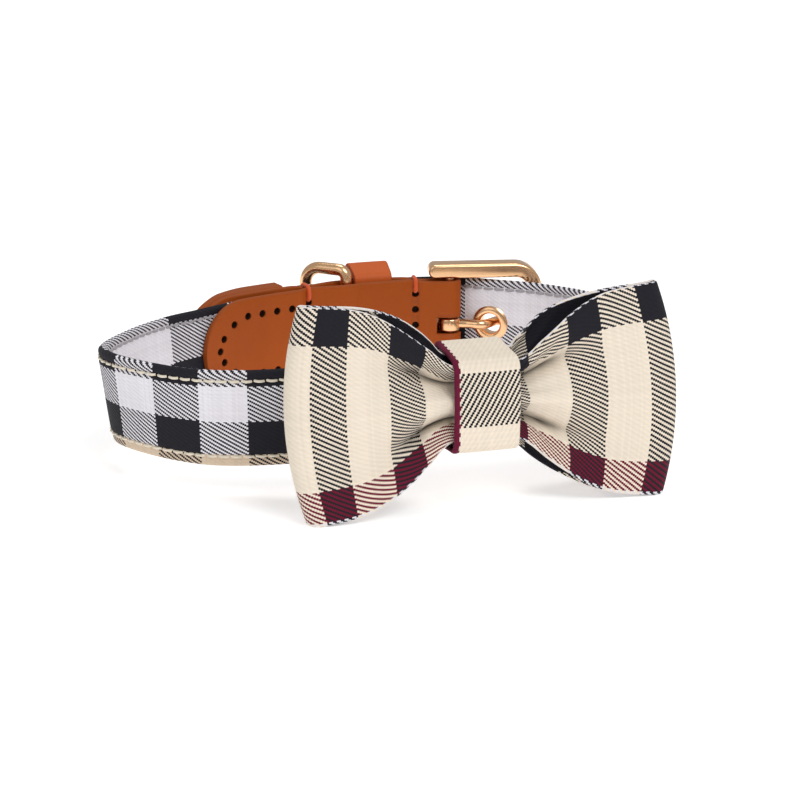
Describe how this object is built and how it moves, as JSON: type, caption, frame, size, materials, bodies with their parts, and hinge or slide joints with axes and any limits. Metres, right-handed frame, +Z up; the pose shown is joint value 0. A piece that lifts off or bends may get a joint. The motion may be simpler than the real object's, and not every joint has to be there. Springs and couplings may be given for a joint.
{
  "type": "pet bow tie collar",
  "caption": "Padded cloth pet collar with a centre bow, leather-ended strap, buckle, keeper and swinging D-ring.",
  "frame": {"origin": "under the middle of the collar's bounding box, on the surface it stands on", "axes": "+X along the bow towards the buckle's side, +Y from the bow at the front to the buckle at the back, +Z up"},
  "size_m": [0.147, 0.1268, 0.0525],
  "materials": {
    "band_cloth": "black and white check twill",
    "bow_cloth": "cream twill with dark and wine bands",
    "tan_leather": "smooth tan leather",
    "keeper_leather": "smooth red-tan leather",
    "gold_metal": "polished pale gold"
  },
  "bodies": {
    "collar": {"band": "band_cloth", "chape": "tan_leather", "strap_tip": "tan_leather", "keeper": "keeper_leather", "buckle_frame": "gold_metal", "buckle_prong": "gold_metal", "eyelet_1": "gold_metal", "eyelet_2": "gold_metal", "eyelet_3": "gold_metal", "eyelet_4": "gold_metal", "eyelet_5": "gold_metal", "bow": "bow_cloth", "knot": "bow_cloth"},
    "d_ring": {"d_ring": "gold_metal"}
  },
  "joints": [
    {"name": "d_ring_swing", "type": "hinge", "parent": "collar", "child": "d_ring", "pos_m": [0.00628, 0.05262, 0.0182], "axis": [0, 0, -1], "range_deg": [0, 46]}
  ]
}
